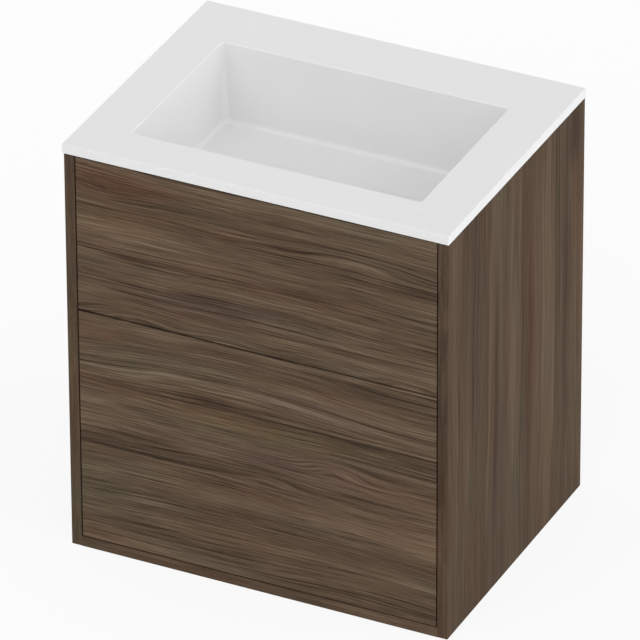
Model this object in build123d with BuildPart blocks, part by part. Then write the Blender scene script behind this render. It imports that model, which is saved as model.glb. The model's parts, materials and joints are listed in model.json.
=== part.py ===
"""Wall-hung vanity unit: a thin basin top on a wood-decor cabinet with two push-to-open drawers.

Millimetres. X runs across the width, the wall is at +Y, the fronts face -Y and +Z is up.
The origin is the middle of the bounding box, on the plane of the base.
"""

import os

from build123d import *

os.makedirs("parts", exist_ok=True)

# Basin top
top_width = 600
top_depth = 460
top_thickness = 15
top_edge_radius = 1.2
bowl_side_rim = 75
bowl_length = 290
bowl_front_rim = 70
bowl_depth = 128
bowl_draft = 3
bowl_wall = 12
bowl_corner_radius = 10
bowl_foot_radius = 8
bowl_rim_radius = 1.6
bowl_fall = 3

# Drain fitting
drain_hole_radius = 23
drain_pad_margin = 6
flange_radius = 32.5
flange_thickness = 2.2
flange_play = 1
flange_dish = 3
waste_radius = 20.95
waste_bore = 17.5
waste_length = 84
groove_depth = 1.5
groove_width = 3
seal_thickness = 1.5
washer_thickness = 3
washer_radius = 30
nut_thickness = 12
nut_radius = 31
nut_sides = 6
thread_play = 0.1
spider_drop = 26
spider_thickness = 6
spider_rib = 3
spider_ribs = 3
hub_radius = 7
stem_radius = 4
stem_play = 0.05
stem_length = 38
plug_radius = 30
plug_thickness = 4
plug_bevel = 1.2
plug_seat = 0.3
plug_boss_radius = 14
plug_boss_drop = 5
plug_seal_play = 0.4
plug_seal_thickness = 3

# Cabinet boards
body_height = 650
side_overhang = 1.5
front_overhang = 3
board = 16
board_chamfer = 0.4
rail_height = 60
low_rail_height = 80
back_recess = 18
front_rail_gap = 5

# Drawer fronts
front_board = 18
side_gap = 2
base_gap = 2
split_gap = 3
top_gap = 3
upper_front_height = 248
push_travel = 2.5

# Dowels and cam fittings
dowel_radius = 4
dowel_length = 30
dowel_in_panel = 12
bore_play = 0.1
bore_end_play = 1
cam_radius = 7.5
cam_depth = 12
cam_reach = 24
bolt_radius = 3
bolt_in_panel = 11
fitting_inset = 45
fitting_pitch = 40
rail_fitting_inset = 15
rail_fitting_pitch = 21

# Runners
gauge = 1.5
runner_play = 2
runner_width = 30
runner_height = 40
runner_lip = 11
carrier_top = 26
carrier_skirt = 8
middle_play = 2
middle_top = 21
middle_skirt = 5
glide_play = 0.3
glide_length = 24
glide_inset = 22
glide_pitch = 130
runner_end_gap = 1.5
lower_runner_rise = 16
upper_runner_rise = 14

# Screws
screw_head_radius = 4
screw_head_height = 1.8
screw_radius = 2
screw_depth = 12
runner_screw_inset = 40
runner_screw_rise = 33

# Drawer boxes
drawer_end_gap = 2.5
metal_gauge = 1.2
metal_side_width = 14
metal_side_gap = 5
metal_bend = 3.5
metal_fold = 1
metal_return_width = 4
metal_flange = 12
lower_side_height = 90
bowl_clearance = 5
drawer_board = 16
board_edge_gap = 1
lower_back_height = 150
gallery_radius = 5
gallery_drop = 20
gallery_socket = 6
rosette_radius = 9
rosette_thickness = 4

# Notch round the trap
notch_width = 180
notch_reach = 75
notch_radius = 20
notch_wall = 8

# Brackets behind the fronts
bracket_width = 22
bracket_height = 44
bracket_tongue = 34
bracket_rise = 6
bracket_screw_pitch = 26

# Push units
unit_width = 16
unit_height = 20
unit_length = 80
unit_rise = 1
unit_back_gap = 14
plunger_radius = 4
plunger_play = 0.06
plunger_length = 58
plunger_bore = 64
plunger_head_radius = 6
plunger_head = 4
plunger_rest = 0.6
striker_gap = 2.7
striker_block = 12
striker_plate = 30
striker_gauge = 3
striker_lift = 3

# Brackets under the basin top
angle_gauge = 2
angle_leg = 20
angle_length = 30
angle_inset = 75

# Wall hangers
hanger_width = 44
hanger_height = 64
hanger_depth = 10
hanger_wall = 2
hanger_drop = 8
hanger_screw_radius = 3
hanger_head_radius = 5
hanger_head_height = 3
hanger_screw_play = 0.4
hanger_screw_drops = (20, 53)
hook_gauge = 2
hook_width = 30
hook_drop = 38
hook_leg = 27
hook_lip = 10
hook_lip_gap = 1
hook_thread_play = 0.05
plate_gauge = 2
plate_width = 80
plate_edge_gap = 2.5
plate_step = 4
plate_lip = 14
plate_height = 68
plate_hole_radius = 3.25
plate_hole_inset = 18
plate_hole_rises = (15, 50)

# How near an edge lies to the plane that it is picked by
snap = 0.01

# Planes and places worked out from the sizes above
wall_y = top_depth / 2
front_y = front_overhang - wall_y
inner = top_width / 2 - side_overhang - board
top_z = body_height + top_thickness
bowl_width = top_width - 2 * bowl_side_rim
bowl_y = bowl_front_rim + bowl_length / 2 - wall_y
foot_z = top_z - bowl_depth
drain_z = foot_z - bowl_fall
bowl_under_z = drain_z - bowl_wall
nut_z = bowl_under_z - washer_thickness - nut_thickness
front_back_y = front_y + front_board
front_rail_y = front_back_y + front_rail_gap
rail_y = wall_y - back_recess
drawer_end_y = rail_y - board - push_travel - drawer_end_gap
lower_front_z = board + base_gap
upper_front_z = body_height - top_gap - upper_front_height
lower_front_height = upper_front_z - split_gap - lower_front_z
runner_z = {"lower": board + lower_runner_rise, "upper": upper_front_z + upper_runner_rise}
upper_side_height = bowl_under_z - bowl_clearance - runner_z["upper"] - carrier_top
side_height = {"lower": lower_side_height, "upper": upper_side_height}
runner_start_y = front_back_y + push_travel + runner_end_gap
side_outer = inner - metal_side_gap
side_inner = side_outer - metal_side_width
unit_x = inner - runner_width - unit_width / 2
unit_y = drawer_end_y - unit_back_gap - unit_length
striker_y = unit_y - plunger_rest - plunger_head - striker_gap
hanger_x = inner - hanger_width / 2
hook_z = body_height - hook_drop
plate_z = hook_z - plate_lip

# Depth and height of each dowel and cam fitting at a side panel, board by board
bottom_mid = board / 2
front_rail_mid = front_rail_y + board / 2
back_rail_mid = rail_y - board / 2
high_dowel = body_height - rail_fitting_inset
low_dowel = board + rail_fitting_inset
dowels = {
    "bottom_panel": [
        (front_y + fitting_inset + fitting_pitch, bottom_mid),
        (wall_y - fitting_inset - fitting_pitch, bottom_mid),
    ],
    "front_rail": [(front_rail_mid, high_dowel)],
    "back_top_rail": [(back_rail_mid, high_dowel)],
    "back_lower_rail": [(back_rail_mid, low_dowel)],
}
cams = {
    "bottom_panel": [(front_y + fitting_inset, bottom_mid), (wall_y - fitting_inset, bottom_mid)],
    "front_rail": [(front_rail_mid, high_dowel - rail_fitting_pitch)],
    "back_top_rail": [(back_rail_mid, high_dowel - rail_fitting_pitch)],
    "back_lower_rail": [(back_rail_mid, low_dowel + rail_fitting_pitch)],
}
# The way each board's cam faces
cam_facing = {
    "bottom_panel": (0, 0, 1),
    "front_rail": (0, 1, 0),
    "back_top_rail": (0, -1, 0),
    "back_lower_rail": (0, -1, 0),
}


def floor_z(level):
    """Underside of a drawer's floor board, on the flange of its metal sides."""
    return runner_z[level] + carrier_top + metal_gauge


def save(piece, name):
    """Label a finished piece and write it under its name."""
    piece.part.label = name
    export_step(piece.part, f"parts/{name}.step")


def save_pair(right, name):
    """Write a right-hand piece and its mirror image; the name has a gap for the side."""
    with BuildPart() as left:
        mirror(right.part, about=Plane.YZ)
    save(right, name.format("right"))
    save(left, name.format("left"))


def across(y):
    """The upright plane across the unit at a depth; shapes grow from it to the front."""
    return Plane.XZ.offset(-y)


def block(x, y, z):
    """Add a block between its low and high corners."""
    with BuildSketch(Plane.XY.offset(z[0])) as outline:
        with Locations(((x[0] + x[1]) / 2, (y[0] + y[1]) / 2)):
            Rectangle(x[1] - x[0], y[1] - y[0])
    extrude(outline.sketch, amount=z[1] - z[0])


def bent_sheet(plane, path, thickness, length):
    """Add a strip of sheet bent along a path and as long as given."""
    with BuildSketch(plane) as section:
        with BuildLine():
            Polyline(*path)
        trace(line_width=thickness)
    extrude(section.sketch, amount=length)


def facing_side(points, x, outward):
    """Planes on an upright face at a place across the unit, one for each depth and height."""
    return [Plane(origin=(x, y, z), z_dir=(outward, 0, 0)) for y, z in points]


def bore(planes, radius, depth):
    """Cut blind bores that enter at the given planes."""
    with Locations(*planes):
        Hole(radius=radius, depth=depth)


def peg(planes, radius, length):
    """Add round pegs that reach inwards from the given planes."""
    with Locations(*planes):
        Cylinder(radius, length, align=(Align.CENTER, Align.CENTER, Align.MAX))


def screws(planes):
    """Add pan-head screws that sit on the given planes."""
    with Locations(*planes):
        Cylinder(
            screw_head_radius,
            screw_head_height,
            align=(Align.CENTER, Align.CENTER, Align.MIN),
        )
    peg(planes, screw_radius, screw_depth)


def runner_screw_points(level):
    """Depth and height of the screws that hold one cabinet rail."""
    height = runner_z[level] + runner_screw_rise
    depths = (runner_start_y + runner_screw_inset, drawer_end_y - runner_screw_inset)
    return [(depth, height) for depth in depths]


def angle_points():
    """Depth and height of the screws that hold the brackets under the basin top."""
    height = body_height - angle_leg / 2 - angle_gauge
    return [(front_y + angle_inset, height), (wall_y - angle_inset, height)]


def bracket_screw_planes(level):
    """Where the right-hand front bracket of a drawer is screwed to its front."""
    x = side_inner - bracket_width / 2
    middle = floor_z(level) + drawer_board + bracket_rise + bracket_height / 2
    heights = (middle - bracket_screw_pitch / 2, middle + bracket_screw_pitch / 2)
    return [Plane(origin=(x, front_back_y, z), z_dir=(0, 1, 0)) for z in heights]


def hanger_screw_planes():
    """Where the right-hand hanger's adjusting screws enter the back top rail."""
    heights = [body_height - drop for drop in hanger_screw_drops]
    return [Plane(origin=(hanger_x, rail_y - board, z), z_dir=(0, -1, 0)) for z in heights]


def mirrored(planes):
    """The given planes and their mirror images on the left-hand side."""
    left = [
        Plane(
            origin=(-plane.origin.X, plane.origin.Y, plane.origin.Z),
            z_dir=(-plane.z_dir.X, plane.z_dir.Y, plane.z_dir.Z),
        )
        for plane in planes
    ]
    return planes + left


def bowl_outline(height, grow):
    """A rounded rectangle on the bowl's centre, larger than the rim opening all round."""
    with BuildSketch(Plane.XY.offset(height)) as outline:
        with Locations((0, bowl_y)):
            RectangleRounded(
                bowl_width + 2 * grow,
                bowl_length + 2 * grow,
                bowl_corner_radius + max(grow, 0),
            )
    return outline.sketch


def make_basin_top():
    """The thin slab with its bowl, whose floor falls to a flush drain seat."""
    pad = 2 * (flange_radius + drain_pad_margin)
    with BuildPart() as basin_top:
        with BuildSketch(Plane.XY.offset(body_height)):
            Rectangle(top_width, top_depth)
        extrude(amount=top_thickness)
        fillet(basin_top.edges(), radius=top_edge_radius)
        loft([bowl_outline(body_height, bowl_wall), bowl_outline(bowl_under_z, bowl_wall - bowl_draft)])
        loft([bowl_outline(top_z, 0), bowl_outline(foot_z, -bowl_draft)], mode=Mode.SUBTRACT)
        rim = basin_top.edges(Select.LAST).group_by(Axis.Z)[-1]
        fillet(rim, radius=bowl_rim_radius)
        with BuildSketch(Plane.XY.offset(drain_z)) as drain_pad:
            with Locations((0, bowl_y)):
                RectangleRounded(pad, pad, pad / 2 - drain_pad_margin)
        loft([bowl_outline(foot_z, -bowl_draft), drain_pad.sketch], mode=Mode.SUBTRACT)
        foot = basin_top.edges().filter_by_position(Axis.Z, foot_z - snap, foot_z + snap)
        fillet(foot, radius=bowl_foot_radius)
        with Locations((0, bowl_y, drain_z)):
            CounterBoreHole(
                radius=drain_hole_radius,
                counter_bore_radius=flange_radius + flange_play,
                counter_bore_depth=flange_thickness + seal_thickness,
            )
    save(basin_top, "basin_top")


def make_waste_body():
    """The body of the push-open waste: flange, groove above the tail, and the plug's spider."""
    flange_z = drain_z - flange_thickness
    low_z = drain_z - waste_length
    hub_z = drain_z - spider_drop
    with BuildPart() as waste_body:
        with BuildSketch(across(bowl_y)):
            with BuildLine():
                Polyline(
                    (waste_bore, low_z),
                    (waste_radius, low_z),
                    (waste_radius, nut_z - groove_width),
                    (waste_radius - groove_depth, nut_z - groove_width),
                    (waste_radius - groove_depth, nut_z),
                    (waste_radius, nut_z),
                    (waste_radius, flange_z),
                    (flange_radius, flange_z),
                    (flange_radius, drain_z - flange_thickness / 2),
                    (flange_radius - flange_thickness / 2, drain_z),
                    (waste_bore + flange_dish, drain_z),
                    (waste_bore, drain_z - flange_dish),
                    close=True,
                )
            make_face()
        revolve(axis=Axis((0, bowl_y, 0), (0, 0, 1)))
        with BuildSketch(Plane.XY.offset(hub_z - spider_thickness)):
            with Locations((0, bowl_y)):
                Circle(hub_radius)
                with PolarLocations(0, spider_ribs):
                    Rectangle(
                        (waste_bore + waste_radius) / 2,
                        spider_rib,
                        align=(Align.MIN, Align.CENTER),
                    )
        extrude(amount=spider_thickness)
        with Locations((0, bowl_y, hub_z)):
            Hole(radius=stem_radius + stem_play, depth=spider_thickness)
    save(waste_body, "waste_body")


def make_waste_rings():
    """The seal under the waste's flange, and the washer and lock nut under the bowl."""
    seal_z = drain_z - flange_thickness - seal_thickness
    rings = {
        "waste_seal": (seal_z, seal_thickness, flange_radius - flange_play),
        "waste_washer": (nut_z + nut_thickness, washer_thickness, washer_radius),
    }
    for name, (height, thickness, radius) in rings.items():
        with BuildPart() as ring:
            with BuildSketch(Plane.XY.offset(height)):
                with Locations((0, bowl_y)):
                    Circle(radius)
                    Circle(waste_radius + thread_play, mode=Mode.SUBTRACT)
            extrude(amount=thickness)
        save(ring, name)
    with BuildPart() as waste_nut:
        with BuildSketch(Plane.XY.offset(nut_z)):
            with Locations((0, bowl_y)):
                RegularPolygon(nut_radius, nut_sides)
                Circle(waste_radius + thread_play, mode=Mode.SUBTRACT)
        extrude(amount=nut_thickness)
    save(waste_nut, "waste_nut")


def make_plug():
    """The plug's bevelled cap with its boss and stem, and the seal that the boss carries."""
    low = drain_z + plug_seat
    boss_z = low - plug_boss_drop
    with BuildPart() as waste_plug:
        with BuildSketch(across(bowl_y)):
            with BuildLine():
                Polyline(
                    (0, low + plug_thickness),
                    (plug_radius - plug_bevel, low + plug_thickness),
                    (plug_radius, low + plug_thickness - plug_bevel),
                    (plug_radius, low),
                    (plug_boss_radius, low),
                    (plug_boss_radius, boss_z),
                    (stem_radius, boss_z),
                    (stem_radius, low - stem_length),
                    (0, low - stem_length),
                    close=True,
                )
            make_face()
        revolve(axis=Axis((0, bowl_y, 0), (0, 0, 1)))
    save(waste_plug, "waste_plug")
    with BuildPart() as plug_seal:
        with BuildSketch(Plane.XY.offset(boss_z)):
            with Locations((0, bowl_y)):
                Circle(waste_bore - plug_seal_play)
                Circle(plug_boss_radius, mode=Mode.SUBTRACT)
        extrude(amount=plug_seal_thickness)
    save(plug_seal, "plug_seal")


def make_side_panels():
    """Full-height side boards with the bores that their fittings need."""
    dowel_points = sum(dowels.values(), [])
    cam_points = sum(cams.values(), [])
    screw_points = runner_screw_points("lower") + runner_screw_points("upper") + angle_points()
    with BuildPart() as right_side_panel:
        block((inner, inner + board), (front_y, wall_y), (0, body_height))
        chamfer(right_side_panel.edges(), length=board_chamfer)
        bore(facing_side(dowel_points, inner, -1), dowel_radius + bore_play, dowel_in_panel + bore_end_play)
        bore(facing_side(cam_points, inner, -1), bolt_radius + bore_play, bolt_in_panel + bore_end_play)
        bore(facing_side(screw_points, inner, -1), screw_radius + bore_play, screw_depth)
    save_pair(right_side_panel, "{}_side_panel")


def fit_board(name):
    """Bore both ends of a cabinet board for its dowels and cam fittings."""
    for outward in (-1, 1):
        face = outward * inner
        dowel_planes = facing_side(dowels[name], face, outward)
        bolt_planes = facing_side(cams[name], face, outward)
        bore(dowel_planes, dowel_radius + bore_play, dowel_length - dowel_in_panel + bore_end_play)
        bore(bolt_planes, bolt_radius + bore_play, cam_reach)
        bore(cam_planes(name, outward), cam_radius + bore_play, cam_depth)


def cam_planes(name, outward):
    """Where the cams of a board enter its face, beside one side panel."""
    facing = Vector(cam_facing[name])
    middles = [Vector(outward * (inner - cam_reach), y, z) for y, z in cams[name]]
    return [Plane(origin=middle + facing * (board / 2), z_dir=facing) for middle in middles]


def make_cabinet_boards():
    """The bottom panel and the three rails that tie the side panels together."""
    across_body = (-inner, inner)
    back = (rail_y - board, rail_y)
    with BuildPart() as bottom_panel:
        block(across_body, (front_y, wall_y), (0, board))
        fit_board("bottom_panel")
    save(bottom_panel, "bottom_panel")
    with BuildPart() as front_rail:
        block(across_body, (front_rail_y, front_rail_y + board), (body_height - rail_height, body_height))
        fit_board("front_rail")
    save(front_rail, "front_rail")
    with BuildPart() as back_top_rail:
        block(across_body, back, (body_height - rail_height, body_height))
        fit_board("back_top_rail")
        with Locations(*mirrored(hanger_screw_planes())):
            CounterBoreHole(
                radius=hanger_screw_radius + hanger_screw_play,
                counter_bore_radius=hanger_head_radius + hanger_screw_play,
                counter_bore_depth=hanger_head_height,
            )
    save(back_top_rail, "back_top_rail")
    with BuildPart() as back_lower_rail:
        block(across_body, back, (board, board + low_rail_height))
        fit_board("back_lower_rail")
    save(back_lower_rail, "back_lower_rail")


def make_cabinet_fittings():
    """Dowels, cam locks and cam bolts, and the screws in the side panels."""
    dowel_points = sum(dowels.values(), [])
    cam_points = sum(cams.values(), [])
    with BuildPart() as carcass_dowels:
        peg(mirrored(facing_side(dowel_points, inner + dowel_in_panel, 1)), dowel_radius, dowel_length)
    save(carcass_dowels, "carcass_dowels")
    with BuildPart() as cam_bolts:
        bolt_planes = mirrored(facing_side(cam_points, inner + bolt_in_panel, 1))
        peg(bolt_planes, bolt_radius, bolt_in_panel + cam_reach)
    save(cam_bolts, "cam_bolts")
    with BuildPart() as cam_locks:
        for name in cams:
            for outward in (-1, 1):
                peg(cam_planes(name, outward), cam_radius, cam_depth)
        bore(mirrored(facing_side(cam_points, inner, 1)), bolt_radius + bore_play, cam_reach)
    save(cam_locks, "cam_locks")
    runner_points = runner_screw_points("lower") + runner_screw_points("upper")
    with BuildPart() as carcass_screws:
        screws(mirrored(facing_side(runner_points, inner - gauge, -1)))
        screws(mirrored(facing_side(angle_points(), inner - angle_gauge, -1)))
    save(carcass_screws, "carcass_screws")


def make_basin_brackets():
    """Four steel angles that hold the basin top to the side panels."""
    half = angle_gauge / 2
    path = (
        (inner - half, body_height - angle_leg),
        (inner - half, body_height - half),
        (inner - angle_leg, body_height - half),
    )
    with BuildPart() as basin_brackets:
        for depth, _ in angle_points():
            bent_sheet(across(depth + angle_length / 2), path, angle_gauge, angle_length)
        bore(facing_side(angle_points(), inner - angle_gauge, -1), screw_radius + bore_play, angle_gauge)
        mirror(about=Plane.YZ)
    save(basin_brackets, "basin_brackets")


def make_hangers():
    """Steel hangers in the back recess, their hooks, screws and the plates on the wall."""
    low = body_height - hanger_drop - hanger_height
    with BuildPart() as right_hanger:
        block((inner - hanger_width, inner), (rail_y, rail_y + hanger_depth), (low, low + hanger_height))
        with BuildSketch(across(rail_y + hanger_depth)):
            with Locations((hanger_x, low + hanger_height / 2)):
                Rectangle(hanger_width - 2 * hanger_wall, hanger_height - 2 * hanger_wall)
        extrude(amount=hanger_depth - hanger_wall, mode=Mode.SUBTRACT)
        with Locations(*hanger_screw_planes()):
            Hole(radius=hanger_screw_radius + hanger_screw_play)
    save_pair(right_hanger, "{}_hanger")
    make_hooks()
    with BuildPart() as hanger_screws:
        planes = mirrored(hanger_screw_planes())
        with Locations(*planes):
            Cylinder(
                hanger_head_radius,
                hanger_head_height,
                align=(Align.CENTER, Align.CENTER, Align.MAX),
            )
        peg(planes, hanger_screw_radius, board + hanger_depth - hanger_wall / 2)
    save(hanger_screws, "hanger_screws")


def make_hooks():
    """The hooks on the hangers, each over the raised lip of its wall plate."""
    lip_y = wall_y - plate_gauge - plate_step
    leg_y = rail_y + hanger_depth - hook_gauge
    hook_y = lip_y + plate_gauge + hook_lip_gap + hook_gauge / 2
    arm_z = hook_z + hook_gauge / 2
    hook_path = (
        (leg_y, hook_z - hook_leg),
        (leg_y, arm_z),
        (hook_y, arm_z),
        (hook_y, arm_z - hook_lip),
    )
    with BuildPart() as hanger_hooks:
        bent_sheet(Plane.YZ.offset(hanger_x - hook_width / 2), hook_path, hook_gauge, hook_width)
        with Locations(hanger_screw_planes()[-1]):
            Hole(radius=hanger_screw_radius + hook_thread_play, depth=board + hanger_depth)
        mirror(about=Plane.YZ)
    save(hanger_hooks, "hanger_hooks")
    half = plate_gauge / 2
    outer_x = inner - plate_edge_gap
    inner_x = outer_x - plate_width
    plate_path = (
        (wall_y - half, plate_z - plate_height),
        (wall_y - half, plate_z),
        (lip_y + half, plate_z),
        (lip_y + half, hook_z),
    )
    with BuildPart() as wall_plates:
        bent_sheet(Plane.YZ.offset(outer_x - hanger_width), plate_path, plate_gauge, hanger_width)
        block(
            (inner_x, outer_x - hanger_width),
            (wall_y - plate_gauge, wall_y),
            (plate_z - plate_height, plate_z - half),
        )
        for rise in plate_hole_rises:
            hole_z = plate_z - plate_height + rise
            bore(
                [Plane(origin=(inner_x + plate_hole_inset, wall_y, hole_z), z_dir=(0, 1, 0))],
                plate_hole_radius,
                plate_gauge,
            )
        mirror(about=Plane.YZ)
    save(wall_plates, "wall_plates")


def make_runner(level):
    """A pair of concealed runners: cabinet rails, middle rails on glides and drawer rails."""
    base = runner_z[level]
    half = gauge / 2
    with BuildPart() as cabinet_rail:
        path = (
            (inner - half, base + runner_height),
            (inner - half, base + half),
            (inner - runner_width + half, base + half),
            (inner - runner_width + half, base + runner_lip),
        )
        bent_sheet(across(drawer_end_y), path, gauge, drawer_end_y - runner_start_y)
        planes = facing_side(runner_screw_points(level), inner - gauge, -1)
        bore(planes, screw_radius + bore_play, gauge)
    save_pair(cabinet_rail, level + "_{}_cabinet_rail")
    carrier_outer = inner - gauge - runner_play
    carrier_inner = inner - runner_width + gauge + runner_play
    with BuildPart() as drawer_rail:
        path = (
            (carrier_outer - half, base + carrier_skirt),
            (carrier_outer - half, base + carrier_top - half),
            (carrier_inner + half, base + carrier_top - half),
            (carrier_inner + half, base + carrier_skirt),
        )
        rail_length = drawer_end_y - front_back_y - runner_end_gap
        bent_sheet(across(drawer_end_y), path, gauge, rail_length)
    save_pair(drawer_rail, level + "_{}_drawer_rail")
    middle_outer = carrier_outer - gauge - middle_play
    middle_inner = carrier_inner + gauge + middle_play
    middle_path = (
        (middle_outer - half, base + middle_skirt),
        (middle_outer - half, base + middle_top - half),
        (middle_inner + half, base + middle_top - half),
        (middle_inner + half, base + middle_skirt),
    )
    middle_start = runner_start_y + runner_end_gap
    middle_end = drawer_end_y - 2 * runner_end_gap
    with BuildPart() as middle_rail:
        bent_sheet(across(middle_end), middle_path, gauge, middle_end - middle_start)
    save_pair(middle_rail, level + "_{}_middle_rail")
    first = middle_start + glide_inset
    last = middle_end - glide_inset
    stations = (first, first + glide_pitch, last - glide_pitch, last)
    make_glides(level, middle_path, stations)


def make_glides(level, middle_path, stations):
    """Nylon shoes on the middle rails, shaped to run in one rail and under the other."""
    base = runner_z[level]
    middle_x = inner - runner_width / 2
    foot_width = runner_width - 2 * (gauge + glide_play)
    foot_low = base + gauge + glide_play
    foot_high = base + carrier_skirt - glide_play
    head_width = foot_width - 2 * (runner_play + gauge)
    head_high = base + carrier_top - gauge - glide_play
    with BuildPart() as runner_glides:
        for station in stations:
            with BuildSketch(across(station + glide_length / 2)):
                with Locations((middle_x, (foot_low + foot_high) / 2)):
                    Rectangle(foot_width, foot_high - foot_low)
                with Locations((middle_x, (foot_low + head_high) / 2)):
                    Rectangle(head_width, head_high - foot_low)
                with BuildLine():
                    Polyline(*middle_path)
                trace(line_width=gauge, mode=Mode.SUBTRACT)
            extrude(amount=glide_length)
        mirror(about=Plane.YZ)
    save(runner_glides, f"{level}_runner_glides")


def make_push_units(level):
    """Push-to-open units on the cabinet rails, their plungers and the drawer's strikers."""
    base = runner_z[level]
    low = base + unit_rise
    axis_z = low + unit_height / 2
    with BuildPart() as push_units:
        block(
            (unit_x - unit_width / 2, unit_x + unit_width / 2),
            (unit_y, unit_y + unit_length),
            (low, low + unit_height),
        )
        with Locations(Plane(origin=(unit_x, unit_y, axis_z), z_dir=(0, -1, 0))):
            Hole(radius=plunger_radius + plunger_play, depth=plunger_bore)
        mirror(about=Plane.YZ)
    save(push_units, f"{level}_push_units")
    with BuildPart() as plungers:
        rod_front = unit_y - plunger_rest
        with BuildSketch(across(rod_front + plunger_length)):
            with Locations((unit_x, axis_z)):
                Circle(plunger_radius)
        extrude(amount=plunger_length)
        with BuildSketch(across(rod_front)):
            with Locations((unit_x, axis_z)):
                Circle(plunger_head_radius)
        extrude(amount=plunger_head)
        mirror(about=Plane.YZ)
    save(plungers, f"{level}_plungers")
    with BuildPart() as strikers:
        high = floor_z(level)
        with BuildSketch(Plane.YZ.offset(unit_x - plunger_head_radius)):
            with BuildLine():
                Polyline(
                    (striker_y, base + striker_lift),
                    (striker_y, high),
                    (striker_y - striker_plate, high),
                    (striker_y - striker_plate, high - striker_gauge),
                    (striker_y - striker_block - striker_gauge, high - striker_gauge),
                    (striker_y - striker_block, high - 2 * striker_gauge),
                    (striker_y - striker_block, base + striker_lift),
                    close=True,
                )
            make_face()
        extrude(amount=2 * plunger_head_radius)
        mirror(about=Plane.YZ)
    save(strikers, f"{level}_strikers")


def make_front(level, low, height):
    """A drawer front that lies flush between the side panels, screwed from behind."""
    half = inner - side_gap
    with BuildPart() as front:
        block((-half, half), (front_y, front_back_y), (low, low + height))
        chamfer(front.edges(), length=board_chamfer)
        bore(mirrored(bracket_screw_planes(level)), screw_radius + bore_play, screw_depth)
    save(front, f"{level}_front")


def make_metal_sides(level):
    """Double-walled steel drawer sides with a flange that carries the floor."""
    low = runner_z[level] + carrier_top + metal_gauge / 2
    high = runner_z[level] + carrier_top + side_height[level] - metal_gauge / 2
    with BuildPart() as metal_side:
        with BuildSketch(across(drawer_end_y)):
            with BuildLine():
                FilletPolyline(
                    (side_inner - metal_flange, low),
                    (side_inner + metal_gauge / 2, low),
                    (side_inner + metal_gauge / 2, high),
                    (side_outer - metal_gauge / 2, high),
                    (side_outer - metal_gauge / 2, low),
                    (side_outer - metal_gauge / 2 - metal_return_width, low),
                    radius=[metal_fold, metal_bend, metal_bend, metal_fold],
                )
            trace(line_width=metal_gauge)
        extrude(amount=drawer_end_y - front_back_y)
    save_pair(metal_side, level + "_drawer_{}_side")


def make_front_brackets(level):
    """Steel brackets that join the metal sides to the front, with their screws."""
    low = floor_z(level) + drawer_board + bracket_rise
    half = gauge / 2
    path = (
        (side_inner - bracket_width, front_back_y + half),
        (side_inner - half, front_back_y + half),
        (side_inner - half, front_back_y + bracket_tongue),
    )
    with BuildPart() as front_brackets:
        bent_sheet(Plane.XY.offset(low), path, gauge, bracket_height)
        planes = [plane.offset(gauge) for plane in bracket_screw_planes(level)]
        bore(planes, screw_radius + bore_play, gauge)
        mirror(about=Plane.YZ)
    save(front_brackets, f"{level}_front_brackets")
    with BuildPart() as front_screws:
        screws(mirrored([plane.offset(gauge) for plane in bracket_screw_planes(level)]))
    save(front_screws, f"{level}_front_screws")


def make_lower_box():
    """The deep drawer's floor, its high back and the two gallery rails."""
    low = floor_z("lower")
    side_top = runner_z["lower"] + carrier_top + side_height["lower"]
    back_low = low + drawer_board
    back_high = back_low + lower_back_height
    with BuildPart() as lower_drawer_floor:
        half = side_inner - board_edge_gap
        block((-half, half), (front_back_y, drawer_end_y), (low, back_low))
    save(lower_drawer_floor, "lower_drawer_floor")
    gallery_x = (side_inner + side_outer) / 2
    gallery_z = back_high - gallery_drop
    with BuildPart() as lower_drawer_back:
        block((-side_inner, side_inner), (drawer_end_y - drawer_board, drawer_end_y), (back_low, back_high))
        block((-side_outer, side_outer), (drawer_end_y - drawer_board, drawer_end_y), (side_top, back_high))
        for x in (-gallery_x, gallery_x):
            plane = Plane(origin=(x, drawer_end_y - drawer_board, gallery_z), z_dir=(0, -1, 0))
            bore([plane], gallery_radius + bore_play, gallery_socket)
    save(lower_drawer_back, "lower_drawer_back")
    with BuildPart() as gallery_rails:
        rail_end = drawer_end_y - drawer_board + gallery_socket
        with BuildSketch(across(rail_end)):
            with Locations((gallery_x, gallery_z)):
                Circle(gallery_radius)
        extrude(amount=rail_end - front_back_y)
        with BuildSketch(across(front_back_y + rosette_thickness)):
            with Locations((gallery_x, gallery_z)):
                Circle(rosette_radius)
        extrude(amount=rosette_thickness)
        mirror(about=Plane.YZ)
    save(gallery_rails, "lower_gallery_rails")


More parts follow.
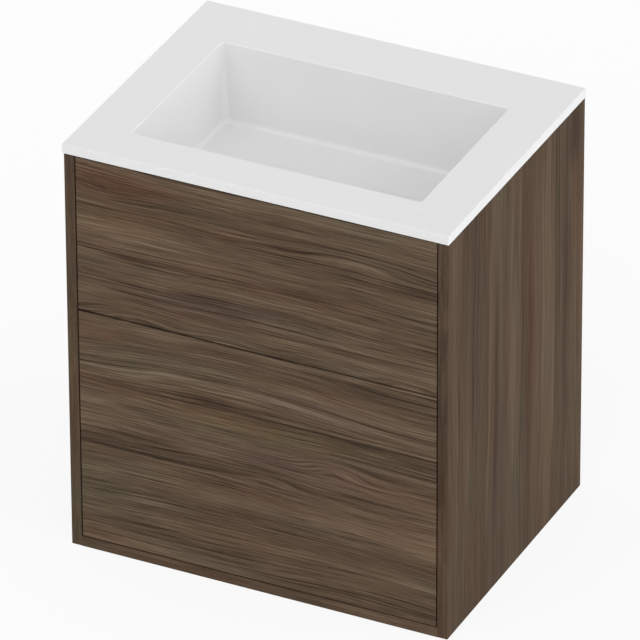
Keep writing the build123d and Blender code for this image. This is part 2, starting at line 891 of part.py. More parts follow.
def make_upper_box():
    """The shallow drawer, notched from the back so that it clears the trap."""
    low = floor_z("upper")
    back_low = low + drawer_board
    back_high = runner_z["upper"] + carrier_top + side_height["upper"]
    notch_y = bowl_y - notch_reach
    half = side_inner - board_edge_gap
    with BuildPart() as upper_drawer_floor:
        block((-half, half), (front_back_y, drawer_end_y), (low, back_low))
        with BuildSketch(Plane.XY.offset(low)):
            with Locations((0, (notch_y + drawer_end_y) / 2)):
                Rectangle(notch_width, drawer_end_y - notch_y)
        extrude(amount=drawer_board, mode=Mode.SUBTRACT)
        corners = upper_drawer_floor.edges(Select.LAST).filter_by(Axis.Z)
        fillet(corners.group_by(Axis.Y)[0], radius=notch_radius)
    save(upper_drawer_floor, "upper_drawer_floor")
    wall_x = notch_width / 2 + notch_wall / 2
    with BuildPart() as notch_surround:
        with BuildSketch(Plane.XY.offset(back_low)):
            with BuildLine():
                FilletPolyline(
                    (-wall_x, drawer_end_y),
                    (-wall_x, notch_y - notch_wall / 2),
                    (wall_x, notch_y - notch_wall / 2),
                    (wall_x, drawer_end_y),
                    radius=notch_radius + notch_wall / 2,
                )
            trace(line_width=notch_wall)
        extrude(amount=back_high - back_low)
    save(notch_surround, "upper_notch_surround")
    with BuildPart() as back_half:
        block(
            (notch_width / 2 + notch_wall, side_inner),
            (drawer_end_y - drawer_board, drawer_end_y),
            (back_low, back_high),
        )
    save_pair(back_half, "upper_drawer_{}_back")


make_basin_top()
make_waste_body()
make_waste_rings()
make_plug()
make_side_panels()
make_cabinet_boards()
make_cabinet_fittings()
make_basin_brackets()
make_hangers()
make_front("lower", lower_front_z, lower_front_height)
make_front("upper", upper_front_z, upper_front_height)
for level in ("lower", "upper"):
    make_runner(level)
    make_push_units(level)
    make_metal_sides(level)
    make_front_brackets(level)
make_lower_box()
make_upper_box()
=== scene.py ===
"""A wall-hung vanity unit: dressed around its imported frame, in metres, +Z up, fronts towards -Y."""

import json
import math

import bpy
from mathutils import Matrix, Vector


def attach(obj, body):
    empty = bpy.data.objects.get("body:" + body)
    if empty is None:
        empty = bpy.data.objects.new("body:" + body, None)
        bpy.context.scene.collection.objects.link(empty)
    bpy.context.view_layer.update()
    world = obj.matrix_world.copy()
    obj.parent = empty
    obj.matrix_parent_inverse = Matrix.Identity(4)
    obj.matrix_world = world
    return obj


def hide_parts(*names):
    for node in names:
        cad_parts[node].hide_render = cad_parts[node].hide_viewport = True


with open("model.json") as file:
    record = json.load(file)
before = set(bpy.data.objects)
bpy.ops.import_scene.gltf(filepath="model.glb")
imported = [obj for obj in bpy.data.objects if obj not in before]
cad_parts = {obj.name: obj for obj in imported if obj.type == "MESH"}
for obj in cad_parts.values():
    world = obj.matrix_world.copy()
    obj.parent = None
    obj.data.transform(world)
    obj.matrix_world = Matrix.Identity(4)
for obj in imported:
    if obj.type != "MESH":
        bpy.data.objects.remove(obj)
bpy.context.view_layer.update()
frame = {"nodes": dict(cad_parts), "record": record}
bpy.ops.object.select_all(action="DESELECT")

# The camera
# Right of the front and well above the basin, a long way off with a long lens, so that the
# edges that run to the wall hardly draw together. It is the photograph's own viewpoint.
camera_azimuth = math.radians(25.8851)
camera_elevation = math.radians(31.0198)
camera_roll = math.radians(-0.2748)
camera_distance = 13.0026
camera_aim = Vector((0, 0.0015, 0.330))
camera_right_shift = -0.009406
camera_up_shift = -0.0018
sensor_width = 36
focal_length = 511.46

away = Vector((
    math.sin(camera_azimuth) * math.cos(camera_elevation),
    -math.cos(camera_azimuth) * math.cos(camera_elevation),
    math.sin(camera_elevation),
))
level_right = Vector((math.cos(camera_azimuth), math.sin(camera_azimuth), 0))
level_up = away.cross(level_right)
right = math.cos(camera_roll) * level_right + math.sin(camera_roll) * level_up
up = math.cos(camera_roll) * level_up - math.sin(camera_roll) * level_right
place = camera_aim + away * camera_distance + right * camera_right_shift + up * camera_up_shift
bpy.ops.object.camera_add()
camera = bpy.context.object
camera.name = "camera"
camera.matrix_world = Matrix.Translation(place) @ Matrix((right, up, away)).transposed().to_4x4()
camera.data.sensor_width = sensor_width
camera.data.lens = focal_length
bpy.context.scene.camera = camera
bpy.context.scene.view_settings.view_transform = "Standard"


# The studio
# A plain white floor that runs on as a white background, under an even sky. Wide soft lamps stand
# in front and on both sides, the strongest low on the right, so that the bowl's left wall is light.
white = (1, 1, 1, 1)
floor_size = 14
floor_grey = 0.86
floor_glow = 0.86
sky_level = 0.52
lamp_spread = math.radians(60)
lamps = {
    # name: azimuth, elevation, level
    "front_lamp": (0, 40, 0.36),
    "near_right_lamp": (30, 40, 0.02),
    "right_lamp": (90, 40, 0.04),
    "low_right_lamp": (90, 15, 0.53),
    "left_lamp": (-90, 15, 0.25),
}


def node(tree, kind, inputs=None, **settings):
    """Add a node, set its settings, and set or link its inputs by their name or number."""
    made = tree.nodes.new(kind)
    for key, value in settings.items():
        setattr(made, key, value)
    for key, value in (inputs or {}).items():
        if isinstance(value, bpy.types.NodeSocket):
            tree.links.new(value, made.inputs[key])
        else:
            made.inputs[key].default_value = value
    return made


def seen_directly(tree):
    """1 for what the camera sees, also in a mirror or through glass, and 0 for light on the object."""
    path = node(tree, "ShaderNodeLightPath")
    either = node(tree, "ShaderNodeMath", {
        0: path.outputs["Is Camera Ray"], 1: path.outputs["Is Glossy Ray"]}, operation="MAXIMUM")
    return node(tree, "ShaderNodeMath", {
        0: either.outputs[0], 1: path.outputs["Is Transmission Ray"]}, operation="MAXIMUM").outputs[0]


world = bpy.data.worlds.new("white_sky")
world.use_nodes = True
sky = world.node_tree
sky_mix = node(sky, "ShaderNodeMix", {0: seen_directly(sky), 2: sky_level, 3: 1.0}, data_type="FLOAT")
sky.links.new(sky_mix.outputs[0], sky.nodes["Background"].inputs["Strength"])
sky.nodes["Background"].inputs["Color"].default_value = white
bpy.context.scene.world = world

bpy.ops.mesh.primitive_plane_add(size=floor_size)
floor = bpy.context.object
floor.name = "floor"
floor_paint = bpy.data.materials.new("white_floor")
floor_paint.use_nodes = True
paint = floor_paint.node_tree
paint.nodes.remove(paint.nodes["Principled BSDF"])
lit = node(paint, "ShaderNodeBsdfDiffuse", {"Color": (floor_grey, floor_grey, floor_grey, 1)})
glow = node(paint, "ShaderNodeEmission", {"Color": white, "Strength": 1.0})
share = node(paint, "ShaderNodeMath", {0: seen_directly(paint), 1: floor_glow}, operation="MULTIPLY")
both = node(paint, "ShaderNodeMixShader", {0: share.outputs[0], 1: lit.outputs[0], 2: glow.outputs[0]})
paint.links.new(both.outputs[0], paint.nodes["Material Output"].inputs["Surface"])
floor.data.materials.append(floor_paint)

for name, (azimuth, elevation, level) in lamps.items():
    bpy.ops.object.light_add(type="SUN")
    lamp = bpy.context.object
    lamp.name = name
    lamp.data.angle = lamp_spread
    lamp.data.energy = level * math.pi
    lamp.rotation_euler = (math.radians(90 - elevation), 0, math.radians(azimuth))


# The basin top
# One moulding of white mineral composite with a satin face: a thin slab with a bowl let into
# it. Its mould is polished, so all that breaks the white is a faint mottle and a fine haze.
basin_white = (0.745, 0.745, 0.742)
basin_roughness = 0.55
basin_roughness_play = (-0.04, 0.05)
basin_gloss = 0.25
fine_detail = 3
mottle_detail = 4
mottle_scale = 26
mottle_tint = (0.985, 0.986, 0.990)
haze_scale = 420
haze_depth = 0.00006
haze_strength = 0.4
noise_low = 0.3
noise_high = 0.7
merge_distance = 0.00002
smooth_below = math.radians(28)


def finish(name, colour, roughness, metallic=0.0):
    """A new material: returns it with its node tree and its shader, ready for detail."""
    material = bpy.data.materials.new(name)
    material.use_nodes = True
    tree = material.node_tree
    shader = tree.nodes["Principled BSDF"]
    shader.inputs["Base Color"].default_value = (*colour, 1)
    shader.inputs["Roughness"].default_value = roughness
    shader.inputs["Metallic"].default_value = metallic
    return material, tree, shader


def noise(tree, place, scale, detail=2.0, at=(0, 0, 0), rough=0.5):
    """Noise of a given scale along each axis, from 0 to 1 and 0.5 on average."""
    mapping = node(tree, "ShaderNodeMapping", {"Vector": place, "Location": at, "Scale": scale})
    made = node(tree, "ShaderNodeTexNoise", {
        "Vector": mapping.outputs[0], "Scale": 1.0, "Detail": detail, "Roughness": rough})
    return made.outputs["Fac"]


def spread(tree, value, low=noise_low, high=noise_high, to_low=0.0, to_high=1.0, ease="LINEAR"):
    """A value's range from low to high stretched over another range, and held there."""
    return node(tree, "ShaderNodeMapRange", {
        "Value": value, "From Min": low, "From Max": high, "To Min": to_low, "To Max": to_high},
        interpolation_type=ease).outputs[0]


def maths(tree, operation, first, second):
    """One sum of two values."""
    return node(tree, "ShaderNodeMath", {0: first, 1: second}, operation=operation).outputs[0]


def tinted(tree, share, colour, tint):
    """A colour multiplied by a tint, by a share."""
    mixed = node(tree, "ShaderNodeMix", {0: share, 6: colour, 7: (*tint, 1)},
                 data_type="RGBA", blend_type="MULTIPLY")
    return mixed.outputs[2]


def bump(tree, shader, height, depth, strength):
    """Raise the surface by a height from 0 to 1, with a real depth."""
    made = node(tree, "ShaderNodeBump", {"Height": height, "Distance": depth, "Strength": strength})
    tree.links.new(made.outputs[0], shader.inputs["Normal"])


def object_place(tree):
    """The place on the object, in metres."""
    return node(tree, "ShaderNodeTexCoord").outputs["Object"]


def basin_finish():
    """The satin white of the moulding."""
    material, tree, shader = finish("satin_white_composite", basin_white, basin_roughness)
    shader.inputs["Specular IOR Level"].default_value = basin_gloss
    place = object_place(tree)
    mottle = noise(tree, place, (mottle_scale,) * 3, mottle_detail)
    haze = noise(tree, place, (haze_scale,) * 3, fine_detail)
    colour = tinted(tree, spread(tree, mottle), (*basin_white, 1), mottle_tint)
    tree.links.new(colour, shader.inputs["Base Color"])
    smoothest, dullest = (basin_roughness + play for play in basin_roughness_play)
    sheen = spread(tree, haze, to_low=smoothest, to_high=dullest)
    tree.links.new(sheen, shader.inputs["Roughness"])
    bump(tree, shader, haze, haze_depth, haze_strength)
    return material


def cover(name, material):
    """Give a CAD node that keeps its own mesh a material."""
    target = frame["nodes"][name]
    target.data.materials.clear()
    target.data.materials.append(material)


def only(obj):
    """Make one object the selected and active one."""
    bpy.ops.object.select_all(action="DESELECT")
    obj.select_set(True)
    bpy.context.view_layer.objects.active = obj


slots = {part["node"]: part["material_slot"] for part in frame["record"]["subparts"]}
bodies = {part: body for body, parts in frame["record"]["behaviour"]["bodies"].items() for part in parts}


def stand_for(piece, node_name, material):
    """Let a finished piece stand for a CAD node, with that node's body and the given material."""
    piece.data.materials.clear()
    piece.data.materials.append(material)
    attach(piece, bodies[node_name])
    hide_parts(node_name)


def smooth(piece):
    """Shade a piece's rounded faces smooth, and keep its flat ones flat."""
    only(piece)
    bpy.ops.object.shade_smooth_by_angle(angle=smooth_below)
    bpy.ops.object.modifier_add(type="WEIGHTED_NORMAL")
    piece.modifiers[-1].keep_sharp = True
    bpy.ops.object.modifier_apply(modifier=piece.modifiers[-1].name)


def merged_copy(node_name, piece_name):
    """A copy of a CAD node with its loose triangles merged."""
    piece = bpy.data.objects.new(piece_name, frame["nodes"][node_name].data.copy())
    bpy.context.scene.collection.objects.link(piece)
    only(piece)
    bpy.ops.object.mode_set(mode="EDIT")
    bpy.ops.mesh.select_all(action="SELECT")
    bpy.ops.mesh.customdata_custom_splitnormals_clear()
    bpy.ops.mesh.remove_doubles(threshold=merge_distance)
    bpy.ops.object.mode_set(mode="OBJECT")
    return piece


# The frame's bowl: half its rim opening, its middle, its heights, and the curves of its corners.
bowl_half_width = 0.225
bowl_half_length = 0.145
bowl_middle_y = -0.015
bowl_rim_z = 0.665
bowl_foot_z = 0.537
bowl_draft = 0.003
foot_curve = 0.0085
cad_corner_radius = 0.010
rim_corner_radius = 0.0035
rim_reach = 0.0020
tangent_play = 0.0004


def tighten_corners(piece):
    """Draw the bowl's upright corners in from their full curve at the foot to a tight one at the rim."""
    for vertex in piece.data.vertices:
        x, y, z = vertex.co
        y -= bowl_middle_y
        inset = bowl_draft * (bowl_rim_z - z) / (bowl_rim_z - bowl_foot_z)
        from_side = bowl_half_width - inset - abs(x)
        from_end = bowl_half_length - inset - abs(y)
        share = (z - bowl_foot_z - foot_curve) / (bowl_rim_z - bowl_foot_z - foot_curve)
        if share <= 0 or min(from_side, from_end) < -rim_reach:
            continue
        if max(from_side, from_end) > cad_corner_radius + tangent_play:
            continue
        radius = cad_corner_radius + (rim_corner_radius - cad_corner_radius) * share
        arm = Vector((cad_corner_radius - from_side, cad_corner_radius - from_end))
        arm = arm.normalized() * (radius + arm.length - cad_corner_radius)
        vertex.co.x = math.copysign(bowl_half_width - inset - radius + arm.x, x)
        vertex.co.y = math.copysign(bowl_half_length - inset - radius + arm.y, y) + bowl_middle_y


basin = merged_copy("basin_top", "moulded_basin_top")
tighten_corners(basin)
smooth(basin)
stand_for(basin, "basin_top", basin_finish())


# The decor boards
# Chipboard faced with a printed melamine paper of brown open-grained wood, matt, with the pores
# pressed in. The grain runs across on the fronts and the bottom panel, and up the side panels.
light_grain = (0.196, 0.142, 0.096)
mid_grain = (0.107, 0.072, 0.047)
dark_grain = (0.036, 0.023, 0.015)
decor_roughness = 0.62
decor_gloss = 0.03
decor_roughness_play = (-0.06, 0.08)
coarse_detail = 1
drift_detail = 1.5
drift_scale = (2.4, 6, 6)
drift_range = (0.2, 0.8)
drift_reach = 0.009
ripple_scale = (8, 30, 30)
ripple_reach = 0.0008
ring_scale = (1.1, 240, 24)
ring_detail = 2.5
ring_roughness = 0.6
dark_ring_range = (0.54, 0.66)
light_ring_range = (0.44, 0.34)
ring_darkness = 0.34
ring_lightness = 0.22
strength_scale = (2.1, 15, 9)
strength_range = (0.35, 0.68)
faintest_ring = 0.15
even_range = (0.25, 0.75)
band_scale = (1.3, 24, 9)
band_contrast = 0.20
fibre_scale = (9, 640, 260)
fibre_roughness = 0.65
fibre_contrast = 0.26
pore_scale = (48, 1300, 600)
pore_range = (0.64, 0.74)
pore_darkness = 0.18
pore_depth = 0.00015
pore_strength = 0.35
darkness_range = (-0.5, 0.5)
tint_scale = (2.4, 17, 9)
tint_range = (0.5, 0.75)
purple_brown = (0.97, 0.95, 1.04)
grey_green = (0.94, 1.04, 1.03)
golden = (1.04, 1.0, 0.91)
reddish = (1.07, 0.96, 0.94)


def patch(tree, place, spot):
    """1 at a spot's centre, falling smoothly to 0 at its reach along the grain and across it. A spot
    is its place along and across, its reach along and across, in millimetres, and one more value."""
    along, across, reach_along, reach_across = (size / 1000 for size in spot[:4])
    mapping = node(tree, "ShaderNodeMapping", {
        "Vector": place,
        "Location": (-along / reach_along, -across / reach_across, 0),
        "Scale": (1 / reach_along, 1 / reach_across, 0),
    })
    length = node(tree, "ShaderNodeVectorMath", {0: mapping.outputs[0]}, operation="LENGTH")
    return spread(tree, length.outputs["Value"], 0, 1, 1, 0, "SMOOTHERSTEP")


def board_place(tree, along, across):
    """The place on a board with X along its grain, Y across it and Z through it."""
    axes = node(tree, "ShaderNodeSeparateXYZ", {0: object_place(tree)}).outputs
    through = ({"X", "Y", "Z"} - {along, across}).pop()
    return node(tree, "ShaderNodeCombineXYZ", {
        0: axes[along], 1: axes[across], 2: axes[through]}).outputs[0]


def shares(tree, first, second, factor):
    """The product of two values and a factor."""
    return maths(tree, "MULTIPLY", maths(tree, "MULTIPLY", first, second), factor)


def decor(name, along, across, swells=(), shades=(), tints=(), seed=0.0, lines=1.0, fibre=1.0, tone_and_painted_shade=1.0):
    """The printed wood, with spots where its lines swell by a rise in millimetres, and spots with a
    darkness or a tint. Lines and fibre scale its rings and its fibres, and the last argument scales its
    brightness, which on the side panels is set lower as painted shade."""
    material, tree, shader = finish(name, mid_grain, decor_roughness)
    shader.inputs["Specular IOR Level"].default_value = decor_gloss
    flat = board_place(tree, along, across)
    offset = (seed, seed * 2, seed * 3)
    drift = noise(tree, flat, drift_scale, drift_detail, at=offset)
    ripple = noise(tree, flat, ripple_scale, at=offset)
    shift = maths(tree, "ADD", spread(tree, drift, *drift_range, -drift_reach, drift_reach),
                  spread(tree, ripple, *drift_range, -ripple_reach, ripple_reach))
    for swell in swells:
        lift = maths(tree, "MULTIPLY", patch(tree, flat, swell), -swell[4] / 1000)
        shift = maths(tree, "ADD", shift, lift)
    moved = node(tree, "ShaderNodeCombineXYZ", {1: shift}).outputs[0]
    bent = node(tree, "ShaderNodeVectorMath", {0: flat, 1: moved}, operation="ADD").outputs[0]

    rings = noise(tree, bent, ring_scale, ring_detail, at=offset, rough=ring_roughness)
    ring_lines = spread(tree, rings, *dark_ring_range, ease="SMOOTHSTEP")
    ring_light = spread(tree, rings, *light_ring_range, ease="SMOOTHSTEP")
    presence = noise(tree, bent, strength_scale, coarse_detail, at=(seed + 4, 1, 2))
    strength = spread(tree, presence, *strength_range, faintest_ring, 1)
    bands = noise(tree, bent, band_scale, at=(seed + 8, 3, 1))
    fibres = noise(tree, bent, fibre_scale, fine_detail, at=offset, rough=fibre_roughness)
    flecks = noise(tree, bent, pore_scale, coarse_detail, at=(seed, 5, 5))
    pores = spread(tree, flecks, *pore_range, ease="SMOOTHSTEP")

    dark = spread(tree, bands, *even_range, -band_contrast, band_contrast)
    dark = maths(tree, "ADD", dark, shares(tree, ring_lines, strength, ring_darkness * lines))
    dark = maths(tree, "ADD", dark, shares(tree, ring_light, strength, -ring_lightness * lines))
    streaks = spread(tree, fibres, *even_range, -fibre_contrast * fibre, fibre_contrast * fibre)
    dark = maths(tree, "ADD", dark, streaks)
    dark = maths(tree, "ADD", dark, maths(tree, "MULTIPLY", pores, pore_darkness))
    for shade in shades:
        darker = maths(tree, "MULTIPLY", patch(tree, bent, shade), shade[4])
        dark = maths(tree, "ADD", dark, darker)

    ramp = node(tree, "ShaderNodeValToRGB", {0: spread(tree, dark, *darkness_range)})
    light, middle, deep = (
        (*[tone_and_painted_shade * part for part in grain], 1) for grain in (light_grain, mid_grain, dark_grain))
    ramp.color_ramp.elements[0].color = light
    ramp.color_ramp.elements[1].color = deep
    ramp.color_ramp.elements.new(0.5).color = middle
    colour = ramp.outputs[0]
    warm = spread(tree, noise(tree, bent, tint_scale, coarse_detail, at=(seed + 11, 7, 3)), *tint_range)
    cool = spread(tree, noise(tree, bent, tint_scale, coarse_detail, at=(seed + 17, 2, 9)), *tint_range)
    colour = tinted(tree, warm, colour, reddish)
    colour = tinted(tree, cool, colour, grey_green)
    for tint in tints:
        colour = tinted(tree, patch(tree, bent, tint), colour, tint[4])
    tree.links.new(colour, shader.inputs["Base Color"])
    smoothest, dullest = (decor_roughness + play for play in decor_roughness_play)
    tree.links.new(spread(tree, fibres, to_low=smoothest, to_high=dullest), shader.inputs["Roughness"])
    height = maths(tree, "SUBTRACT", spread(tree, fibres, to_low=0.5, to_high=1), pores)
    bump(tree, shader, height, pore_depth, pore_strength)
    return material


front_swells = (
    (-200, 413, 120, 24, 11),
    (-60, 411, 100, 18, 7),
    (110, 416, 160, 20, 8),
    (230, 408, 90, 16, 6),
    (-25, 350, 330, 90, 16),
    (-75, 197, 80, 18, 7),
    (15, 196, 90, 20, 8),
    (120, 240, 90, 26, 10),
    (-230, 596, 150, 24, -8),
    (160, 588, 170, 22, 9),
)
front_shades = (
    (-200, 628, 150, 24, 0.16),
    (120, 590, 260, 7, 0.30),
    (-120, 600, 160, 9, 0.16),
    (-210, 548, 190, 34, -0.16),
    (60, 556, 220, 22, -0.08),
    (-190, 503, 150, 7, 0.24),
    (100, 506, 220, 6, 0.22),
    (0, 476, 320, 12, -0.10),
    (-120, 452, 200, 22, 0.08),
    (170, 432, 170, 12, 0.20),
    (0, 396, 320, 7, 0.16),
    (150, 378, 160, 10, 0.22),
    (-150, 330, 190, 26, -0.10),
    (80, 318, 200, 26, -0.10),
    (-60, 272, 300, 16, -0.12),
    (190, 240, 150, 22, 0.16),
    (10, 226, 170, 16, 0.14),
    (-210, 208, 110, 5, 0.34),
    (20, 205, 90, 8, 0.26),
    (190, 202, 110, 5, 0.26),
    (80, 182, 240, 9, -0.14),
    (-160, 162, 160, 26, -0.06),
    (-25, 122, 70, 12, 0.18),
    (220, 78, 130, 26, -0.12),
    (-200, 66, 130, 8, 0.16),
    (60, 30, 280, 10, 0.18),
)
front_tints = (
    (-210, 620, 140, 34, reddish),
    (-60, 450, 280, 30, purple_brown),
    (-150, 330, 200, 34, grey_green),
    (-250, 368, 70, 24, reddish),
    (90, 312, 170, 26, purple_brown),
    (60, 272, 60, 14, grey_green),
    (140, 246, 60, 16, grey_green),
    (0, 270, 320, 26, golden),
    (0, 222, 320, 30, purple_brown),
    (-210, 552, 150, 34, golden),
    (-25, 120, 80, 20, reddish),
)
front_decor = decor("wood_decor_across", "X", "Z", front_swells, front_shades, front_tints,
                    seed=1.0, lines=1.3, fibre=2.15, tone_and_painted_shade=0.92)
cover("upper_front", front_decor)
cover("lower_front", front_decor)
cover("bottom_panel", decor("wood_decor_base", "X", "Y", seed=6.0))

side_shades = (
    (325, -165, 420, 26, -0.13),
    (325, -92, 420, 6, -0.26),
    (325, -68, 420, 14, 0.26),
    (325, -190, 420, 4, 0.21),
    (325, -12, 420, 24, -0.13),
    (325, 44, 420, 20, 0.21),
    (325, 88, 420, 8, -0.18),
    (325, 125, 420, 18, -0.08),
    (325, 168, 420, 14, 0.18),
    (325, 204, 420, 8, -0.16),
    (610, 195, 90, 40, 0.21),
)
side_tints = (
    (520, -2, 200, 26, grey_green),
    (325, 48, 420, 26, reddish),
    (600, 195, 90, 40, purple_brown),
    (200, -60, 160, 24, purple_brown),
    (500, 204, 200, 10, golden),
    (90, -215, 90, 26, grey_green),
)
# The side panels get a darker copy of the decor, 0.77 against the fronts' 0.92: painted shade that offsets
# the lamps on the right, which light the sides more than the fronts.
for side, seed in (("right", 3.0), ("left", 9.0)):
    cover(side + "_side_panel", decor("wood_decor_up_painted_shade_" + side, "Z", "Y", (), side_shades, side_tints,
                                      seed=seed, lines=0.65, fibre=0.8, tone_and_painted_shade=0.77))


# The rails and the drawer boards
# Chipboard faced with plain melamine: brown-grey for the rails of the cabinet, and a linen
# grey for the floors and backs of the drawers.
rail_brown = (0.20, 0.17, 0.14)
rail_threads = (60, 700)
linen_grey = (0.42, 0.42, 0.41)
linen_threads = (90, 900)
board_roughness = 0.6
thread_range = (0.35, 0.65)
thread_shade = (0.80, 0.80, 0.81)
thread_depth = 0.0001
thread_strength = 0.4


def faced_board(name, colour, along_scale, across_scale):
    """Plain melamine with a faint printed weave, its threads longer one way than the other."""
    material, tree, shader = finish(name, colour, board_roughness)
    place = object_place(tree)
    weft = noise(tree, place, (along_scale, across_scale, across_scale), fine_detail)
    warp = noise(tree, place, (across_scale, along_scale, across_scale), fine_detail, at=(3, 1, 4))
    weave = maths(tree, "MULTIPLY", maths(tree, "ADD", weft, warp), 0.5)
    shade = tinted(tree, spread(tree, weave, *thread_range), (*colour, 1), thread_shade)
    tree.links.new(shade, shader.inputs["Base Color"])
    bump(tree, shader, weave, thread_depth, thread_strength)
    return material


rail_board = faced_board("brown_faced_board", rail_brown, *rail_threads)
drawer_board = faced_board("linen_grey_board", linen_grey, *linen_threads)
for name in ("front_rail", "back_top_rail", "back_lower_rail"):
    cover(name, rail_board)
for name in ("lower_drawer_floor", "lower_drawer_back", "upper_drawer_floor",
             "upper_drawer_left_back", "upper_drawer_right_back"):
    cover(name, drawer_board)


# The metals, plastics and rubber
# Zinc-plated steel for runners, hangers and brackets, chromed brass for the waste, powder coat
# on the drawer sides, and moulded plastics and rubber for the small parts.
steel_grey = (0.56, 0.57, 0.58)
steel_roughness = 0.34
rolled_scale = (900, 14, 900)
rolled_sheen = (0.26, 0.46)
rolled_depth = 0.00004
rolled_strength = 0.4
cloud_scale = 30
cloud_tint = (0.86, 0.88, 0.90)
speckle_strength = 0.5
speckle_gloss = (0.85, 1.2)
speckled_finishes = {
    # slot: name, colour, roughness, metallic, speckles to the metre, their shade and their depth
    "zinc": ("bright_zinc", (0.66, 0.66, 0.65), 0.3, 1.0, 500, 0.88, 0.00003),
    "chrome": ("polished_chrome", (0.80, 0.81, 0.82), 0.07, 1.0, 60, 0.97, 0.00001),
    "brass": ("machined_brass", (0.72, 0.56, 0.28), 0.3, 1.0, 300, 0.88, 0.00003),
    "black_rubber": ("black_rubber", (0.025, 0.025, 0.026), 0.7, 0.0, 700, 0.8, 0.00006),
    "grey_plastic": ("moulded_grey", (0.30, 0.31, 0.32), 0.48, 0.0, 800, 0.93, 0.00006),
    "white_nylon": ("moulded_nylon", (0.80, 0.80, 0.78), 0.4, 0.0, 800, 0.96, 0.00005),
    "grey_metal": ("grey_powder_coat", (0.30, 0.31, 0.32), 0.46, 0.0, 900, 0.92, 0.00012),
    "beech": ("raw_beech", (0.62, 0.45, 0.28), 0.7, 0.0, 400, 0.85, 0.0001),
}


def plated_steel():
    """Sheet steel with the fine lines of its rolling under a slightly cloudy zinc."""
    material, tree, shader = finish("zinc_plated_steel", steel_grey, steel_roughness, 1.0)
    place = object_place(tree)
    rolled = noise(tree, place, rolled_scale, fine_detail)
    cloud = noise(tree, place, (cloud_scale,) * 3, fine_detail)
    shade = tinted(tree, spread(tree, cloud), (*steel_grey, 1), cloud_tint)
    tree.links.new(shade, shader.inputs["Base Color"])
    sheen = spread(tree, rolled, to_low=rolled_sheen[0], to_high=rolled_sheen[1])
    tree.links.new(sheen, shader.inputs["Roughness"])
    bump(tree, shader, rolled, rolled_depth, rolled_strength)
    return material


def speckled(name, colour, roughness, metallic, scale, shade, depth):
    """A plain finish broken by a fine speckle in its colour, gloss and surface."""
    material, tree, shader = finish(name, colour, roughness, metallic)
    speckle = noise(tree, object_place(tree), (scale,) * 3, fine_detail)
    toned = tinted(tree, spread(tree, speckle), (*colour, 1), (shade,) * 3)
    tree.links.new(toned, shader.inputs["Base Color"])
    smoothest, dullest = (roughness * share for share in speckle_gloss)
    gloss = spread(tree, speckle, to_low=smoothest, to_high=dullest)
    tree.links.new(gloss, shader.inputs["Roughness"])
    bump(tree, shader, speckle, depth, speckle_strength)
    return material


finishes = {slot_name: speckled(*values) for slot_name, values in speckled_finishes.items()}
finishes["galvanised_steel"] = plated_steel()
screw_nodes = ("carcass_screws", "lower_front_screws", "upper_front_screws", "hanger_screws")
for node_name, slot_name in slots.items():
    if slot_name in finishes and node_name not in screw_nodes:
        copy = merged_copy(node_name, "made_" + node_name)
        smooth(copy)
        stand_for(copy, node_name, finishes[slot_name])


# The screws
# Zinc-plated pan-head screws with a cross recess. They hold the runners and the basin's brackets
# to the side panels and the brackets to the drawer fronts, and set the height of the hangers.
head_facets = 32
dome_segments = 4
end_face_normal = 0.9

# Shares of the head's height, then of its radius, then of the shank's radius.
head_dome = 0.55
recess_depth = 0.6
recess_reach = 1.15
recess_width = 0.28
tip_length = 1.6
tip_width = 0.15


def solids(node_name):
    """The corners of each separate solid of a CAD node, in the order of their places."""
    merged_copy(node_name, "loose_copy")
    bpy.ops.object.mode_set(mode="EDIT")
    bpy.ops.mesh.separate(type="LOOSE")
    bpy.ops.object.mode_set(mode="OBJECT")
    parts = [[vertex.co.copy() for vertex in part.data.vertices] for part in bpy.context.selected_objects]
    bpy.ops.object.delete()
    return sorted(parts, key=lambda part: [round(sum(axis) / len(part), 5) for axis in zip(*part)])


def pick(piece, test):
    """Go into edit mode with the faces selected that a test names."""
    only(piece)
    bpy.ops.object.mode_set(mode="EDIT")
    bpy.ops.mesh.select_mode(type="FACE")
    bpy.ops.mesh.select_all(action="DESELECT")
    bpy.ops.object.mode_set(mode="OBJECT")
    for face in piece.data.polygons:
        face.select = test(face)
    bpy.ops.object.mode_set(mode="EDIT")


def cut(piece, cutter):
    """Cut one piece out of another."""
    only(piece)
    bpy.ops.object.modifier_add(type="BOOLEAN")
    piece.modifiers[-1].operation = "DIFFERENCE"
    piece.modifiers[-1].object = cutter
    bpy.ops.object.modifier_apply(modifier=piece.modifiers[-1].name)
    only(cutter)
    bpy.ops.object.delete()


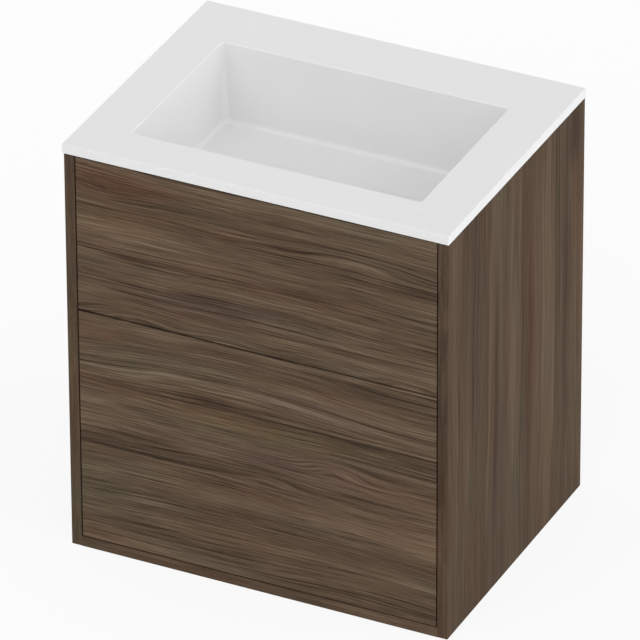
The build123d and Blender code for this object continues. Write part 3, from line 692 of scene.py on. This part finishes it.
def pan_head_screw(head_radius, head_height, shank_radius, shank_length):
    """One screw that points down, with the underside of its head at height 0."""
    bpy.ops.mesh.primitive_cylinder_add(
        vertices=head_facets, radius=head_radius, depth=head_height, location=(0, 0, head_height / 2))
    screw = bpy.context.object
    bpy.ops.object.transform_apply(location=True)
    pick(screw, lambda face: face.normal.z > end_face_normal)
    bpy.ops.mesh.bevel(offset=head_height * head_dome, segments=dome_segments, affect="EDGES")
    bpy.ops.object.mode_set(mode="OBJECT")
    pick(screw, lambda face: face.normal.z < -end_face_normal)
    bpy.ops.mesh.inset(thickness=head_radius - shank_radius)
    tip = shank_radius * tip_length
    bpy.ops.mesh.extrude_region_move(TRANSFORM_OT_translate={"value": (0, 0, tip - shank_length)})
    bpy.ops.mesh.extrude_region_move(TRANSFORM_OT_translate={"value": (0, 0, -tip)})
    bpy.ops.transform.resize(value=(tip_width, tip_width, 1), center_override=(0, 0, -shank_length))
    bpy.ops.object.mode_set(mode="OBJECT")
    for turn in (0, math.radians(90)):
        bpy.ops.mesh.primitive_cube_add(size=1, location=(0, 0, head_height), rotation=(0, 0, turn))
        bar = bpy.context.object
        bar.scale = (head_radius * recess_reach, head_radius * recess_width, head_height * recess_depth * 2)
        bpy.ops.object.transform_apply(location=True, rotation=True, scale=True)
        cut(screw, bar)
    return screw


def measured(part):
    """A CAD screw's seat under its head, the way its head points, and its radii and lengths."""
    lows = [min(axis) for axis in zip(*part)]
    highs = [max(axis) for axis in zip(*part)]
    sizes = [high - low for low, high in zip(lows, highs)]
    along = sizes.index(max(sizes))
    middle = Vector((low + high) / 2 for low, high in zip(lows, highs))
    girths = {}
    for corner in part:
        arm = corner - middle
        step = round(arm[along], 5)
        arm[along] = 0
        girths[step] = max(girths.get(step, 0), arm.length)
    widest = sorted(girths, key=lambda step: (-girths[step], step))[:2]
    underside, top = sorted(widest, key=abs)
    out = Vector((0, 0, 0))
    out[along] = math.copysign(1, top)
    seat = middle + out * abs(underside)
    head = (girths[top], abs(top - underside))
    shank = (min(girths.values()), abs(underside) + sizes[along] / 2)
    return seat, out, (*head, *shank)


def dress_screws(node_name):
    """Detailed screws in place of the plain ones of a CAD node: one is made, and the rest are copies."""
    places = [measured(part) for part in solids(node_name)]
    master = pan_head_screw(*places[0][2])
    screws = []
    for seat, out, _ in places:
        screw = bpy.data.objects.new("pan_head_" + node_name, master.data.copy())
        bpy.context.scene.collection.objects.link(screw)
        screw.data.transform(Matrix.Translation(seat) @ out.to_track_quat("Z", "Y").to_matrix().to_4x4())
        screws.append(screw)
    only(master)
    bpy.ops.object.delete()
    only(screws[0])
    for screw in screws:
        screw.select_set(True)
    bpy.ops.object.join()
    smooth(screws[0])
    stand_for(screws[0], node_name, finishes["zinc"])


for node_name in screw_nodes:
    dress_screws(node_name)
